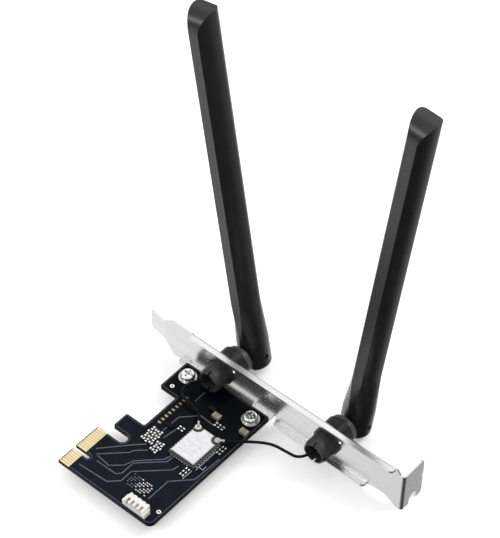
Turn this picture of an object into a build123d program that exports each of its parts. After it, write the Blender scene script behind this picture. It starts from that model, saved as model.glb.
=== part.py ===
from build123d import *
import math
import os

# PCIe x1 Wi-Fi card with a full-height bracket and two antennas that swivel in it and fold.
# Millimetres and degrees. The origin is where the key's centreline meets the tip of the edge connector's
# tongue, at mid board. +X runs along the bracket to its screw tab, +Y out through the bracket and +Z up
# from the component side.

QUARTER = 90.0

# Board
BOARD_T = 1.57
BOARD_TOP = BOARD_T / 2
BOARD_END_X = 44.2
BOARD_EDGE_X = 12.5
TONGUE_NEAR_Y = 12.15
TONGUE_FAR_Y = -8.15
TONGUE_BEVEL = 0.4
KEY_WIDTH = 1.9
KEY_DEPTH = 7.7
ARM_X = 4.0
ARM_NEAR_Y = 16.4
ARM_WIDTH = 7.2
EAR_X = 4.2
EAR_LENGTH_Y = 15.0
BOARD_CORNER_R = 0.8
BOARD_BIG_CORNER_R = 2.6
TOOLING_HOLE_R = 0.6

# Edge contacts
CONTACT_PITCH = 1.0
CONTACT_WIDTH = 0.7
CONTACT_LENGTH = 4.4
CONTACT_T = 0.05
CONTACT_SETBACK = 0.6
CONTACT_FROM_KEY = 1.5
CONTACT_COUNT_NEAR = 11
CONTACT_COUNT_FAR = 7

# Bracket sheet
SHEET = 0.86
BEND_IN = 0.3
BEND_OUT = BEND_IN + SHEET
CUT_OVER = 1.0
PLATE_Y = 58.8
PLATE_OUT_Y = PLATE_Y + SHEET
BOARD_GAP = 2.5
BOARD_BRACKET_Y = PLATE_Y - BOARD_GAP
BRACKET_WIDTH = 18.42
BRACKET_TOP_Z = 14.6
BRACKET_LOW_Z = BRACKET_TOP_Z - BRACKET_WIDTH
BRACKET_LENGTH = 120.02
TAB_X = 103.2
TAIL_TIP_X = TAB_X - BRACKET_LENGTH
FLANGE_DEPTH = 2.19
FLANGE_CORNER_R = 1.6
TOP_FLANGE_X = (4.7, 99.0)
LOW_FLANGE_END_X = (-1.0, 87.4)

# Bracket screw tab
TAB_DEPTH = 11.48
TAB_LOW_Z = -5.6
TAB_HIGH_Z = TAB_LOW_Z + BRACKET_WIDTH
TAB_CORNER_R = 1.6
SCREW_SLOT_WIDTH = 4.42
SCREW_SLOT_Y = 65.1
SCREW_SLOT_DEPTH = 4.2
TAB_NOTCH_WIDTH = 1.3
TAB_NOTCH_DEPTH = 3.0
TAB_NOTCH_Z = 3.9
TAB_NOTCH_ANGLE = 38.0
NECK_LOW_Z = -2.7
NECK_START_X = 88.9
NECK_END_X = 95.5
NECK_FLARE = 5.3
SHOULDER_X = 99.4
SHOULDER_RUN = 1.8

# Bracket tail
TAIL_FOLD_X = -9.0
TAIL_TAPER_X = -4.7
TAIL_WIDTH = 9.6
TAIL_MID_Z = 6.7
TAIL_BEND_ANGLE = 9.0
TAIL_CHAMFER = 0.8

# Board ears of the bracket and the screws
SCREW_SETBACK = 7.6
SCREW_PLACES = ((9.1, PLATE_Y - SCREW_SETBACK), (39.4, PLATE_Y - SCREW_SETBACK))
BOARD_HOLE_R = 1.6
EAR_WIDTH = 9.0
EAR_REACH = 12.4
EAR_RELIEF = 0.9
EAR_CORNER_R = 2.5
EAR_HOLE_R = 1.5
TOOLING_HOLE_SETBACK = 14.7
TOOLING_HOLES = ((7.7, PLATE_Y - TOOLING_HOLE_SETBACK), (42.3, -1.6))
SCREW_SHANK_R = 1.45
SCREW_LENGTH = 4.2
SCREW_HEAD_R = 2.8
SCREW_HEAD_H = 2.0
SCREW_HEAD_ROUND = 0.9
CROSS_WIDTH = 0.8
CROSS_LENGTH = 3.3
CROSS_DEPTH = 1.1
PAD_R = 3.45
PAD_T = 0.05

# Radio module
MODULE_X = 33.2
MODULE_Y = 28.2
MODULE_LENGTH = 16.0
MODULE_WIDTH = 12.0
MODULE_SUBSTRATE_T = 0.8
CAN_MARGIN = 0.65
CAN_HEIGHT = 1.0
CAN_WALL = 0.2
CAN_NOTCH_R = 2.3
LABEL_INSET = 0.35
LABEL_T = 0.06
CHIP_SIZE = 6.0
CHIP_HEIGHT = 0.6
SUBSTRATE_TOP = BOARD_TOP + MODULE_SUBSTRATE_T
CAN_TOP = SUBSTRATE_TOP + CAN_HEIGHT

# Coaxial connectors and pigtails
RECEPTACLE_INSET = 1.35
RECEPTACLE_BASE = 2.0
RECEPTACLE_BASE_H = 0.3
RECEPTACLE_R = 0.75
RECEPTACLE_H = 0.8
RECEPTACLE_BORE_R = 0.5
PLUG_R = 1.2
PLUG_CLEAR = 0.04
PLUG_CAP = 0.3
CRIMP_R = 0.6
COAX_R = 0.55
LEFT_PIGTAIL = ((27.05, 36.85, 2.5), (24.65, 40.05, 2.5), (20.6, 41.0, 2.6), (16.0, 41.2, 2.9),
                (13.0, 43.2, 3.3), (13.3, 47.2, 4.2), (16.9, 50.6, 5.4), (18.9, 53.6, 5.76), (19.3, 57.0, 5.8))
RIGHT_PIGTAIL = ((39.85, 36.35, 2.5), (43.45, 39.05, 2.5), (48.6, 42.9, 3.1), (54.2, 46.0, 3.5),
                 (60.2, 46.7, 3.3), (65.2, 46.9, 3.9), (68.3, 50.8, 5.5), (69.0, 55.9, 5.8))
ARC_SHARE = 0.45

# Internal header
HEADER_X = 35.45
HEADER_Y = -5.35
HEADER_LENGTH = 10.4
HEADER_DEPTH = 4.0
HEADER_H = 3.4
HEADER_WALL = 0.7
HEADER_PIN_COUNT = 4
HEADER_PITCH = 2.0
HEADER_SLOT_WIDTH = 1.1
HEADER_CRENEL_WIDTH = 0.8
HEADER_CRENEL = 0.45
HEADER_STEP = 0.9
HEADER_PIN_WIDTH = 0.5
HEADER_TAIL = 1.2
HEADER_TAIL_T = 0.25

# Small parts on the board
TAN_CAP_SIZE = (3.0, 2.2, 1.4)
TAN_CAP_SCREW_GAP = 2.7
TAN_CAP_SETBACK = SCREW_SETBACK + SCREW_HEAD_R + TAN_CAP_SCREW_GAP + TAN_CAP_SIZE[1] / 2
TAN_CAP_PLACES = ((41.9, PLATE_Y - TAN_CAP_SETBACK), (29.8, 43.6))
CHIP_BLOCK_PLACES = ((16.1, 19.0), (22.0, 17.2))
CHIP_BLOCK_COUNTS = ((3, 4), (2, 3))
CHIP_BLOCK_PITCH = 1.85
CHIP_LENGTH = 1.6
CHIP_BREADTH = 0.8
CHIP_THICK = 0.6
CHIP_ROW_PITCH = 1.6
CHIP_ROW_PLACES = ((31.8, 40.9), (23.0, 31.0))
CHIP_ROW_COUNTS = (3, 2)
CHIP_COLUMN_PLACES = ((37.7, 15.6), (41.2, 31.4))
CHIP_COLUMN_COUNTS = (3, 3)
POWER_CHIP_SIZE = (2.9, 1.6, 1.0)
POWER_CHIP_PLACES = ((26.0, 45.4), (19.6, 29.4))

# Antenna base, all on the swivel axis
ANTENNA_X = {"left": 19.3, "right": 69.0}
SLEEVE_R = 4.85
SLEEVE_BOARD_CLEAR = 0.15
ANTENNA_Z = BOARD_TOP + SLEEVE_BOARD_CLEAR + SLEEVE_R
LEAN = {"left": -9.8, "right": 4.9}
TILT = {"left": 0.0, "right": 2.0}
BRACKET_HOLE_R = 4.5
INDEX_HOLE_R = 0.65
INDEX_HOLE_OFFSET = 6.3
INDEX_HOLE_ANGLE = 30.0
FIT_CLEAR = 0.05
FLANGE_R = 5.6
FLANGE_T = 1.1
SLEEVE_LENGTH = 8.0
SHOULDER_LENGTH = 1.5
RIM_R = 4.35
HOLLOW_R = 3.75
HOLLOW_DEPTH = 5.5
RIM_SLOT_WIDTH = 0.9
RIM_SLOT_DEPTH = 1.7
RIM_SLOT_COUNT = 4
WINDOW_WIDTH = 1.2
WINDOW_LENGTH = 1.1
WINDOW_REACH = 4.6
SPIGOT_REACH = 1.2
COLLAR_R = 5.6
COLLAR_LENGTH = 6.74
COLLAR_CHAMFER = 0.4
SHANK_R = 2.9
SHANK_BORE_R = 1.5
SHANK_TAIL = 1.7
RING_R = 5.5
RING_DROP = 1.7
RING_GAP = 0.3
RING_LENGTH = 2.6
RING_CHAMFER = 0.5
SNAP_GROOVE_R = 2.3
SNAP_RING_R = 3.6
SNAP_RING_T = 0.6
SNAP_PLAY = 0.1
SNAP_GAP_ANGLE = 60.0

# Hinge and blade
PIN_REACH = 6.9
PIN_DROP = 3.6
PIN_Y = PLATE_OUT_Y + COLLAR_LENGTH + RING_GAP + RING_LENGTH + PIN_REACH
PIN_R = 1.1
PIN_HALF = 5.3
TONGUE_T = 5.0
TONGUE_R = 4.2
HINGE_CLEAR = 0.1
BLADE_LENGTH = 153.7
BLADE_FRONT = 6.1
BLADE_DEPTH = 10.6
BLADE_HALF = 4.75
BLADE_WIDEST = 1.5
BLADE_FLAT_HALF = 2.05
BARREL_R = 6.1
BARREL_FLAT_HALF = 0.7
BARREL_TOP = 7.0
BLEND_TOP = 26.0
FOOT_ROUND = 4.4
FOOT_CLEAR = 0.24
FOOT_MARGIN = 0.5
TIP_FRONT_R = 7.5
TIP_BACK_R = 1.6
BLADE_WALL = 1.2
CAVITY_TOP_WALL = 5.0
STRIP_T = 0.8
STRIP_SIDE_WALL = 1.0
STRIP_LENGTH = 118.0
STRIP_START = 20.0
FEED_START = 6.0
FEED_LENGTH = 66.0


def block(x, y, z):
    """Box between the low and high values given on each axis."""
    centre = [(low + high) / 2 for low, high in (x, y, z)]
    size = [high - low for low, high in (x, y, z)]
    return Pos(*centre) * Box(*size)


def rectangle(x, y):
    """Rectangle between the low and high values given on each axis."""
    return Pos((x[0] + x[1]) / 2, (y[0] + y[1]) / 2) * Rectangle(x[1] - x[0], y[1] - y[0])


def corner(face, x, y):
    """The vertex of a flat outline nearest to a point."""
    return face.vertices().sort_by_distance((x, y, 0))[0]


def rounded(face, corners):
    """Outline with the named corners rounded, each given as x, y and radius."""
    for x, y, radius in corners:
        face = fillet(corner(face, x, y), radius)
    return face


def around_y(points, x, z):
    """Solid turned round an axis along Y, from points given as radius and Y."""
    profile = make_face(Polyline(*points, close=True))
    return Pos(x, 0, z) * revolve(profile, Axis.Y)


def board():
    """Bare board, at mid height on the XY plane."""
    arm_far = ARM_NEAR_Y + ARM_WIDTH
    ear_near = BOARD_BRACKET_Y - EAR_LENGTH_Y
    slot_round = (ARM_NEAR_Y - TONGUE_NEAR_Y) / 2 - 0.02
    face = rectangle((BOARD_EDGE_X, BOARD_END_X), (TONGUE_FAR_Y, BOARD_BRACKET_Y))
    face += rectangle((0, BOARD_EDGE_X), (TONGUE_FAR_Y, TONGUE_NEAR_Y))
    face += rectangle((ARM_X, BOARD_EDGE_X), (ARM_NEAR_Y, arm_far))
    face += rectangle((EAR_X, BOARD_EDGE_X), (ear_near, BOARD_BRACKET_Y))
    face = rounded(face, (
        (BOARD_END_X, TONGUE_FAR_Y, BOARD_BIG_CORNER_R),
        (BOARD_END_X, BOARD_BRACKET_Y, BOARD_CORNER_R),
        (EAR_X, BOARD_BRACKET_Y, BOARD_CORNER_R),
        (EAR_X, ear_near, BOARD_CORNER_R),
        (BOARD_EDGE_X, ear_near, BOARD_CORNER_R),
        (BOARD_EDGE_X, arm_far, BOARD_CORNER_R),
        (ARM_X, arm_far, BOARD_CORNER_R),
        (ARM_X, ARM_NEAR_Y, BOARD_CORNER_R),
        (BOARD_EDGE_X, ARM_NEAR_Y, slot_round),
        (BOARD_EDGE_X, TONGUE_NEAR_Y, slot_round),
    ))
    key_round = KEY_WIDTH / 2
    face -= rectangle((-key_round, KEY_DEPTH - key_round), (-key_round, key_round))
    face -= Pos(KEY_DEPTH - key_round, 0) * Circle(key_round)
    for x, y in SCREW_PLACES:
        face -= Pos(x, y) * Circle(BOARD_HOLE_R)
    for x, y in TOOLING_HOLES:
        face -= Pos(x, y) * Circle(TOOLING_HOLE_R)
    plate = Pos(0, 0, -BOARD_TOP) * extrude(face, BOARD_T)
    tip = plate.edges().filter_by(Axis.Y).group_by(Axis.X)[0]
    return chamfer(tip, TONGUE_BEVEL)


def contacts(side):
    """One face's row of contacts: side is 1 for the component side and -1 for the solder side."""
    near = [CONTACT_FROM_KEY + n * CONTACT_PITCH for n in range(CONTACT_COUNT_NEAR)]
    far = [-CONTACT_FROM_KEY - n * CONTACT_PITCH for n in range(CONTACT_COUNT_FAR)]
    x = CONTACT_SETBACK + CONTACT_LENGTH / 2
    z = side * (BOARD_TOP + CONTACT_T / 2)
    finger = Box(CONTACT_LENGTH, CONTACT_WIDTH, CONTACT_T)
    return Compound([Pos(x, y, z) * finger for y in near + far])


def bend_sector(side_a, side_b):
    """Quarter ring of the sheet's bend about the sketch origin, in the quadrant named by the two signs."""
    ring = Circle(BEND_OUT) - Circle(BEND_IN)
    return ring & rectangle(sorted((0, side_a * BEND_OUT)), sorted((0, side_b * BEND_OUT)))


def leaf(x, depth, z, corner_r):
    """Flat leaf that runs inwards from a bend on the plate, with rounded free corners."""
    root_y = PLATE_Y - BEND_IN
    free_y = PLATE_Y - depth
    face = rectangle(x, (free_y, root_y))
    face = rounded(face, ((x[0], free_y, corner_r), (x[1], free_y, corner_r)))
    return Pos(0, 0, z) * extrude(face, SHEET)


def plate_bend(x, centre_z, up):
    """Bend between the plate and a leaf, above the plate's edge if up is 1 and below it if up is -1."""
    sector = Pos(PLATE_Y - BEND_IN, centre_z) * bend_sector(1, up)
    return Pos(x[0], 0, 0) * extrude(Plane.YZ * sector, x[1] - x[0])


def low_flanges():
    """X ranges of the lower flange, which stops short of each board ear."""
    half_gap = EAR_WIDTH / 2 + EAR_RELIEF
    stops = [LOW_FLANGE_END_X[0]]
    for x, _ in SCREW_PLACES:
        stops += [x - half_gap, x + half_gap]
    stops.append(LOW_FLANGE_END_X[1])
    return list(zip(stops[::2], stops[1::2]))


def plate_outline():
    """The plate's outline, as X and Z, before its edges are folded."""
    tail_half = TAIL_WIDTH / 2
    root_x = TAB_X - BEND_OUT
    return make_face(Polyline(
        (TAIL_FOLD_X, TAIL_MID_Z - tail_half),
        (TAIL_TAPER_X, BRACKET_LOW_Z),
        (NECK_START_X - (NECK_LOW_Z - BRACKET_LOW_Z), BRACKET_LOW_Z),
        (NECK_START_X, NECK_LOW_Z),
        (NECK_END_X, NECK_LOW_Z),
        (NECK_END_X + NECK_FLARE, TAB_LOW_Z),
        (root_x, TAB_LOW_Z),
        (root_x, TAB_HIGH_Z),
        (SHOULDER_X + SHOULDER_RUN, TAB_HIGH_Z),
        (SHOULDER_X, BRACKET_TOP_Z),
        (TAIL_TAPER_X, BRACKET_TOP_Z),
        (TAIL_FOLD_X, TAIL_MID_Z + tail_half),
        close=True,
    ))


def screw_tab():
    """Tab folded outwards at the bracket's end, with its open screw slot and edge notch."""
    root_y = PLATE_OUT_Y + BEND_IN
    free_y = PLATE_Y + TAB_DEPTH
    slot_r = SCREW_SLOT_WIDTH / 2
    slot_z = TAB_LOW_Z + SCREW_SLOT_DEPTH - slot_r
    face = rectangle((root_y, free_y), (TAB_LOW_Z, TAB_HIGH_Z))
    face = rounded(face, (
        (free_y, TAB_HIGH_Z, TAB_CORNER_R),
        (free_y, TAB_LOW_Z, TAB_CORNER_R),
        (root_y, TAB_LOW_Z, TAB_CORNER_R),
    ))
    face -= rectangle((SCREW_SLOT_Y - slot_r, SCREW_SLOT_Y + slot_r), (TAB_LOW_Z - slot_r, slot_z))
    face -= Pos(SCREW_SLOT_Y, slot_z) * Circle(slot_r)
    notch = Rot(0, 0, TAB_NOTCH_ANGLE) * SlotOverall(2 * TAB_NOTCH_DEPTH, TAB_NOTCH_WIDTH)
    face -= Pos(free_y, TAB_NOTCH_Z) * notch
    tab = Pos(TAB_X - SHEET, 0, 0) * extrude(Plane.YZ * face, SHEET)
    fold = Pos(TAB_X - BEND_OUT, PLATE_OUT_Y + BEND_IN) * bend_sector(1, -1)
    return tab + Pos(0, 0, TAB_LOW_Z) * extrude(fold, BRACKET_WIDTH)


def tail_tip():
    """Tail tip, bent outwards from the plate."""
    run = TAIL_FOLD_X - TAIL_TIP_X
    rise = run * math.tan(math.radians(TAIL_BEND_ANGLE))
    section = make_face(Polyline(
        (TAIL_FOLD_X, PLATE_Y),
        (TAIL_FOLD_X, PLATE_OUT_Y),
        (TAIL_TIP_X, PLATE_OUT_Y + rise),
        (TAIL_TIP_X, PLATE_Y + rise),
        close=True,
    ))
    tip = Pos(0, 0, TAIL_MID_Z - TAIL_WIDTH / 2) * extrude(section, TAIL_WIDTH)
    ends = tip.edges().filter_by(Axis.Y).group_by(Axis.X)[0]
    return chamfer(ends, TAIL_CHAMFER)


def bracket():
    """Folded sheet: plate, flanges, board ears, screw tab and tail in one piece."""
    outline = plate_outline()
    outline -= rectangle(TOP_FLANGE_X, (BRACKET_TOP_Z - BEND_OUT, BRACKET_TOP_Z + CUT_OVER))
    for x in low_flanges():
        outline -= rectangle(x, (BRACKET_LOW_Z - CUT_OVER, BRACKET_LOW_Z + BEND_OUT))
    ear_top = -BOARD_TOP
    half_gap = EAR_WIDTH / 2 + EAR_RELIEF
    for x, _ in SCREW_PLACES:
        relief_z = (BRACKET_LOW_Z - CUT_OVER, ear_top + BEND_IN)
        outline -= rectangle((x - half_gap, x + half_gap), relief_z)
    for x in ANTENNA_X.values():
        outline -= Pos(x, ANTENNA_Z) * Circle(BRACKET_HOLE_R)
        turn = math.radians(INDEX_HOLE_ANGLE)
        index_x = x + INDEX_HOLE_OFFSET * math.cos(turn)
        outline -= Pos(index_x, ANTENNA_Z + INDEX_HOLE_OFFSET * math.sin(turn)) * Circle(INDEX_HOLE_R)
    sheet = Pos(0, PLATE_Y, 0) * extrude(Plane.XZ * outline, SHEET, dir=(0, 1, 0))
    sheet += plate_bend(TOP_FLANGE_X, BRACKET_TOP_Z - BEND_OUT, 1)
    sheet += leaf(TOP_FLANGE_X, FLANGE_DEPTH, BRACKET_TOP_Z - SHEET, FLANGE_CORNER_R)
    for x in low_flanges():
        sheet += plate_bend(x, BRACKET_LOW_Z + BEND_OUT, -1)
        sheet += leaf(x, FLANGE_DEPTH, BRACKET_LOW_Z, FLANGE_CORNER_R)
    for x, y in SCREW_PLACES:
        width = (x - EAR_WIDTH / 2, x + EAR_WIDTH / 2)
        sheet += plate_bend(width, ear_top + BEND_IN, -1)
        ear = leaf(width, EAR_REACH, ear_top - SHEET, EAR_CORNER_R)
        sheet += ear - Pos(x, y, ear_top) * Cylinder(EAR_HOLE_R, 4 * SHEET)
    sheet += screw_tab()
    sheet += tail_tip()
    return sheet


def bracket_screw(x, y):
    """Pan-head screw with a cross recess, from the board's pad down into the bracket's ear."""
    seat = BOARD_TOP + PAD_T
    head = extrude(Circle(SCREW_HEAD_R), SCREW_HEAD_H)
    head = fillet(head.edges().group_by(Axis.Z)[-1], SCREW_HEAD_ROUND)
    for angle in (0, 90):
        arm = Box(CROSS_LENGTH, CROSS_WIDTH, 2 * CROSS_DEPTH)
        head -= Pos(0, 0, SCREW_HEAD_H) * Rot(0, 0, angle) * arm
    shank = Pos(0, 0, -SCREW_LENGTH) * extrude(Circle(SCREW_SHANK_R), SCREW_LENGTH)
    return Pos(x, y, seat) * (head + shank)


def screw_pad(x, y):
    """Tinned ring round a screw hole on the board's component side."""
    return Pos(x, y, BOARD_TOP) * extrude(Circle(PAD_R) - Circle(BOARD_HOLE_R), PAD_T)


def receptacle_places():
    """Centres of the module's two coaxial receptacles, by antenna."""
    y = MODULE_Y + MODULE_LENGTH / 2 - RECEPTACLE_INSET
    reach = MODULE_WIDTH / 2 - RECEPTACLE_INSET
    return {"left": (MODULE_X - reach, y), "right": (MODULE_X + reach, y)}


def can_outline():
    """Outline of the screening can, cut back round the two receptacles."""
    face = Pos(MODULE_X, MODULE_Y) * Rectangle(MODULE_WIDTH - 2 * CAN_MARGIN, MODULE_LENGTH - 2 * CAN_MARGIN)
    for x, y in receptacle_places().values():
        face -= Pos(x, y) * Circle(CAN_NOTCH_R)
    return face


def module_can():
    """Stamped can, open towards the module's board."""
    outer = extrude(can_outline(), CAN_HEIGHT)
    inner = extrude(offset(can_outline(), -CAN_WALL), CAN_HEIGHT - CAN_WALL)
    return Pos(0, 0, SUBSTRATE_TOP) * (outer - inner)


def module_label():
    """Label that covers the can's top."""
    return Pos(0, 0, CAN_TOP) * extrude(offset(can_outline(), -LABEL_INSET), LABEL_T)


def receptacle(x, y):
    """Coaxial receptacle: square base and hollow post."""
    base = extrude(Rectangle(RECEPTACLE_BASE, RECEPTACLE_BASE), RECEPTACLE_BASE_H)
    post = extrude(Circle(RECEPTACLE_R), RECEPTACLE_H)
    bore = extrude(Circle(RECEPTACLE_BORE_R), RECEPTACLE_H)
    return Pos(x, y, SUBSTRATE_TOP) * (base + post - Pos(0, 0, RECEPTACLE_BASE_H) * bore)


def rf_plug(side):
    """Plug cap over a receptacle, with its crimp barrel pointing along the pigtail."""
    x, y = receptacle_places()[side]
    start = PIGTAILS[side][0]
    bearing = math.degrees(math.atan2(start[1] - y, start[0] - x))
    low = SUBSTRATE_TOP + RECEPTACLE_BASE_H
    high = SUBSTRATE_TOP + RECEPTACLE_H + PLUG_CLEAR + PLUG_CAP
    cap = Pos(0, 0, low) * extrude(Circle(PLUG_R), high - low)
    barrel = Pos(0, 0, start[2]) * extrude(Plane.YZ * Circle(CRIMP_R), math.dist(start[:2], (x, y)))
    well = Pos(0, 0, low) * extrude(Circle(RECEPTACLE_R + PLUG_CLEAR), high - low - PLUG_CAP)
    return Pos(x, y, 0) * Rot(0, 0, bearing) * (cap + barrel - well)


def cord_radii(points):
    """Arc radius at each inner point of a cord's route, as large as the two runs beside it allow."""
    radii = []
    for before, here, after in zip(points, points[1:], points[2:]):
        run_in = Vector(*here) - Vector(*before)
        run_out = Vector(*after) - Vector(*here)
        half_turn = math.radians(run_in.get_angle(run_out)) / 2
        radii.append(ARC_SHARE * min(run_in.length, run_out.length) / math.tan(half_turn))
    return radii


def pigtail(side):
    """Thin coax from a plug to the hollow of its antenna's bush."""
    points = PIGTAILS[side]
    radii = cord_radii(points)
    path = FilletPolyline(*points, radius=radii)
    tube = sweep(Plane(origin=path @ 0, z_dir=path % 0) * Circle(COAX_R), path=path)
    ideal = math.pi * COAX_R ** 2 * path.length
    print(side, "pigtail length", round(path.length, 2), "radii", [round(r, 1) for r in radii],
          "volume ratio", round(tube.volume / ideal, 4))
    return tube


def header_pin_places():
    """X places of the header's pins."""
    return [HEADER_X + (n - (HEADER_PIN_COUNT - 1) / 2) * HEADER_PITCH for n in range(HEADER_PIN_COUNT)]


def header_housing():
    """White side-entry header, open to the board's edge, with stepped ends and a slotted lip."""
    front = HEADER_Y - HEADER_DEPTH / 2
    back = HEADER_Y + HEADER_DEPTH / 2
    left = HEADER_X - HEADER_LENGTH / 2
    right = HEADER_X + HEADER_LENGTH / 2
    top = BOARD_TOP + HEADER_H
    body = block((left, right), (front, back), (BOARD_TOP, top))
    for side in (left, right):
        body -= block((side - HEADER_STEP, side + HEADER_STEP), (back - HEADER_STEP, back + 1),
                      (BOARD_TOP, top + 1))
        body -= block((side - HEADER_WALL, side + HEADER_WALL), (front - 1, back + 1),
                      (top - HEADER_STEP, top + 1))
    body -= block((left + 2 * HEADER_WALL, right - 2 * HEADER_WALL), (front - 1, back - HEADER_WALL),
                  (BOARD_TOP + HEADER_WALL, top - HEADER_WALL))
    for x in header_pin_places():
        body -= block((x - HEADER_SLOT_WIDTH / 2, x + HEADER_SLOT_WIDTH / 2), (front - 1, HEADER_Y),
                      (BOARD_TOP + HEADER_WALL, top + 1))
        body -= block((x - HEADER_CRENEL_WIDTH / 2, x + HEADER_CRENEL_WIDTH / 2),
                      (back - HEADER_CRENEL, back + 1), (top - HEADER_CRENEL, top + 1))
    return body


def header_pins():
    """Pins that stand in the header's mouth, each with a solder tail behind the housing."""
    back = HEADER_Y + HEADER_DEPTH / 2
    wall = back - HEADER_WALL
    middle = BOARD_TOP + HEADER_H / 2
    half = HEADER_PIN_WIDTH / 2
    pins = []
    for x in header_pin_places():
        width = (x - half, x + half)
        pins.append(block(width, (HEADER_Y - HEADER_DEPTH / 4, wall), (middle - half, middle + half)))
        pins.append(block(width, (back, back + HEADER_TAIL), (BOARD_TOP, BOARD_TOP + HEADER_TAIL_T)))
    return Compound(pins)


def on_board(size, places):
    """Like boxes that stand on the board's component side."""
    return Compound([Pos(x, y, BOARD_TOP + size[2] / 2) * Box(*size) for x, y in places])


def chip_capacitors():
    """Blocks of small capacitors beside the connector, turned alternately."""
    chips = []
    for (first_x, first_y), (columns, rows) in zip(CHIP_BLOCK_PLACES, CHIP_BLOCK_COUNTS):
        for row in range(rows):
            for column in range(columns):
                x = first_x + column * CHIP_BLOCK_PITCH
                y = first_y + row * CHIP_BLOCK_PITCH
                turn = QUARTER * ((row + column) % 2)
                chip = Box(CHIP_LENGTH, CHIP_BREADTH, CHIP_THICK)
                chips.append(Pos(x, y, BOARD_TOP + CHIP_THICK / 2) * Rot(0, 0, turn) * chip)
    return Compound(chips)


def chip_resistors():
    """Short rows and columns of small resistors round the module."""
    across = (CHIP_BREADTH, CHIP_LENGTH, CHIP_THICK)
    along = (CHIP_LENGTH, CHIP_BREADTH, CHIP_THICK)
    in_rows = []
    for (x, y), count in zip(CHIP_ROW_PLACES, CHIP_ROW_COUNTS):
        in_rows += [(x + n * CHIP_ROW_PITCH, y) for n in range(count)]
    in_columns = []
    for (x, y), count in zip(CHIP_COLUMN_PLACES, CHIP_COLUMN_COUNTS):
        in_columns += [(x, y + n * CHIP_ROW_PITCH) for n in range(count)]
    return Compound(on_board(across, in_rows).solids() + on_board(along, in_columns).solids())


def bush(x):
    """Flanged sleeve inside the bracket: spigot through the hole, hollow and slotted at the free end."""
    flange_y = PLATE_Y - FLANGE_T
    rim_y = PLATE_Y - SLEEVE_LENGTH
    spigot_y = PLATE_OUT_Y + SPIGOT_REACH
    spigot_r = BRACKET_HOLE_R - FIT_CLEAR
    bore_r = SHANK_R + FIT_CLEAR
    body = around_y((
        (bore_r, spigot_y), (spigot_r, spigot_y), (spigot_r, PLATE_Y), (FLANGE_R, PLATE_Y),
        (FLANGE_R, flange_y), (SLEEVE_R, flange_y), (SLEEVE_R, rim_y + SHOULDER_LENGTH),
        (RIM_R, rim_y), (HOLLOW_R, rim_y),
        (HOLLOW_R, rim_y + HOLLOW_DEPTH), (bore_r, rim_y + HOLLOW_DEPTH),
    ), x, ANTENNA_Z)
    for n in range(RIM_SLOT_COUNT):
        slot = Pos(RIM_R, rim_y, 0) * Box(RIM_R, 2 * RIM_SLOT_DEPTH, RIM_SLOT_WIDTH)
        body -= Pos(x, 0, ANTENNA_Z) * Rot(0, 360 / RIM_SLOT_COUNT * n, 0) * slot
    window = Pos(0, rim_y + WINDOW_REACH, 0) * Box(4 * SLEEVE_R, WINDOW_LENGTH, WINDOW_WIDTH)
    body -= Pos(x, 0, ANTENNA_Z) * window
    return body


def collar(x):
    """Ring on the bracket's outside that takes the bush's spigot."""
    end_y = PLATE_OUT_Y + COLLAR_LENGTH
    seat_y = PLATE_OUT_Y + SPIGOT_REACH + FIT_CLEAR
    seat_r = BRACKET_HOLE_R
    bore_r = SHANK_R + FIT_CLEAR
    return around_y((
        (seat_r, PLATE_OUT_Y), (COLLAR_R, PLATE_OUT_Y), (COLLAR_R, end_y - COLLAR_CHAMFER),
        (COLLAR_R - COLLAR_CHAMFER, end_y), (bore_r, end_y), (bore_r, seat_y), (seat_r, seat_y),
    ), x, ANTENNA_Z)


def snap_groove_y():
    """Y of the snap ring's inner face, just behind the bush's shoulder."""
    return PLATE_Y - SLEEVE_LENGTH + HOLLOW_DEPTH - SNAP_PLAY - SNAP_RING_T


def knuckle(side):
    """Swivelling shank with its ring and hinge tongue, hollow for the coax."""
    x = ANTENNA_X[side]
    ring_y = PLATE_OUT_Y + COLLAR_LENGTH + RING_GAP
    face_y = ring_y + RING_LENGTH
    groove_y = snap_groove_y()
    tail_y = groove_y - SHANK_TAIL
    groove = (groove_y - FIT_CLEAR, groove_y + SNAP_RING_T + FIT_CLEAR)
    body = around_y((
        (SHANK_BORE_R, tail_y), (SHANK_R, tail_y), (SHANK_R, groove[0]), (SNAP_GROOVE_R, groove[0]),
        (SNAP_GROOVE_R, groove[1]), (SHANK_R, groove[1]), (SHANK_R, face_y - RING_CHAMFER),
        (SHANK_BORE_R, face_y - RING_CHAMFER),
    ), 0, 0)
    body += around_y((
        (0, ring_y), (RING_R, ring_y), (RING_R, face_y - RING_CHAMFER), (RING_R - RING_CHAMFER, face_y),
        (0, face_y),
    ), 0, -RING_DROP)
    half = TONGUE_T / 2
    root_low = -RING_DROP - RING_R + RING_CHAMFER
    body += block((-half, half), (face_y - RING_CHAMFER, PIN_Y), (root_low, TONGUE_R - PIN_DROP))
    body += Pos(-half, PIN_Y, -PIN_DROP) * extrude(Plane.YZ * Circle(TONGUE_R), TONGUE_T)
    body -= Pos(0, PIN_Y, -PIN_DROP) * Rot(0, 90, 0) * Cylinder(PIN_R + FIT_CLEAR, 2 * TONGUE_T)
    way_y = PIN_Y - 2 * PIN_R - SHANK_BORE_R
    body -= Pos(0, ring_y, 0) * extrude(Plane.XZ * Circle(SHANK_BORE_R), way_y - ring_y, dir=(0, 1, 0))
    body -= block((-SHANK_BORE_R, SHANK_BORE_R), (face_y, way_y), (0, 2 * TONGUE_R))
    return Pos(x, 0, ANTENNA_Z) * Rot(0, LEAN[side], 0) * body


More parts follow.
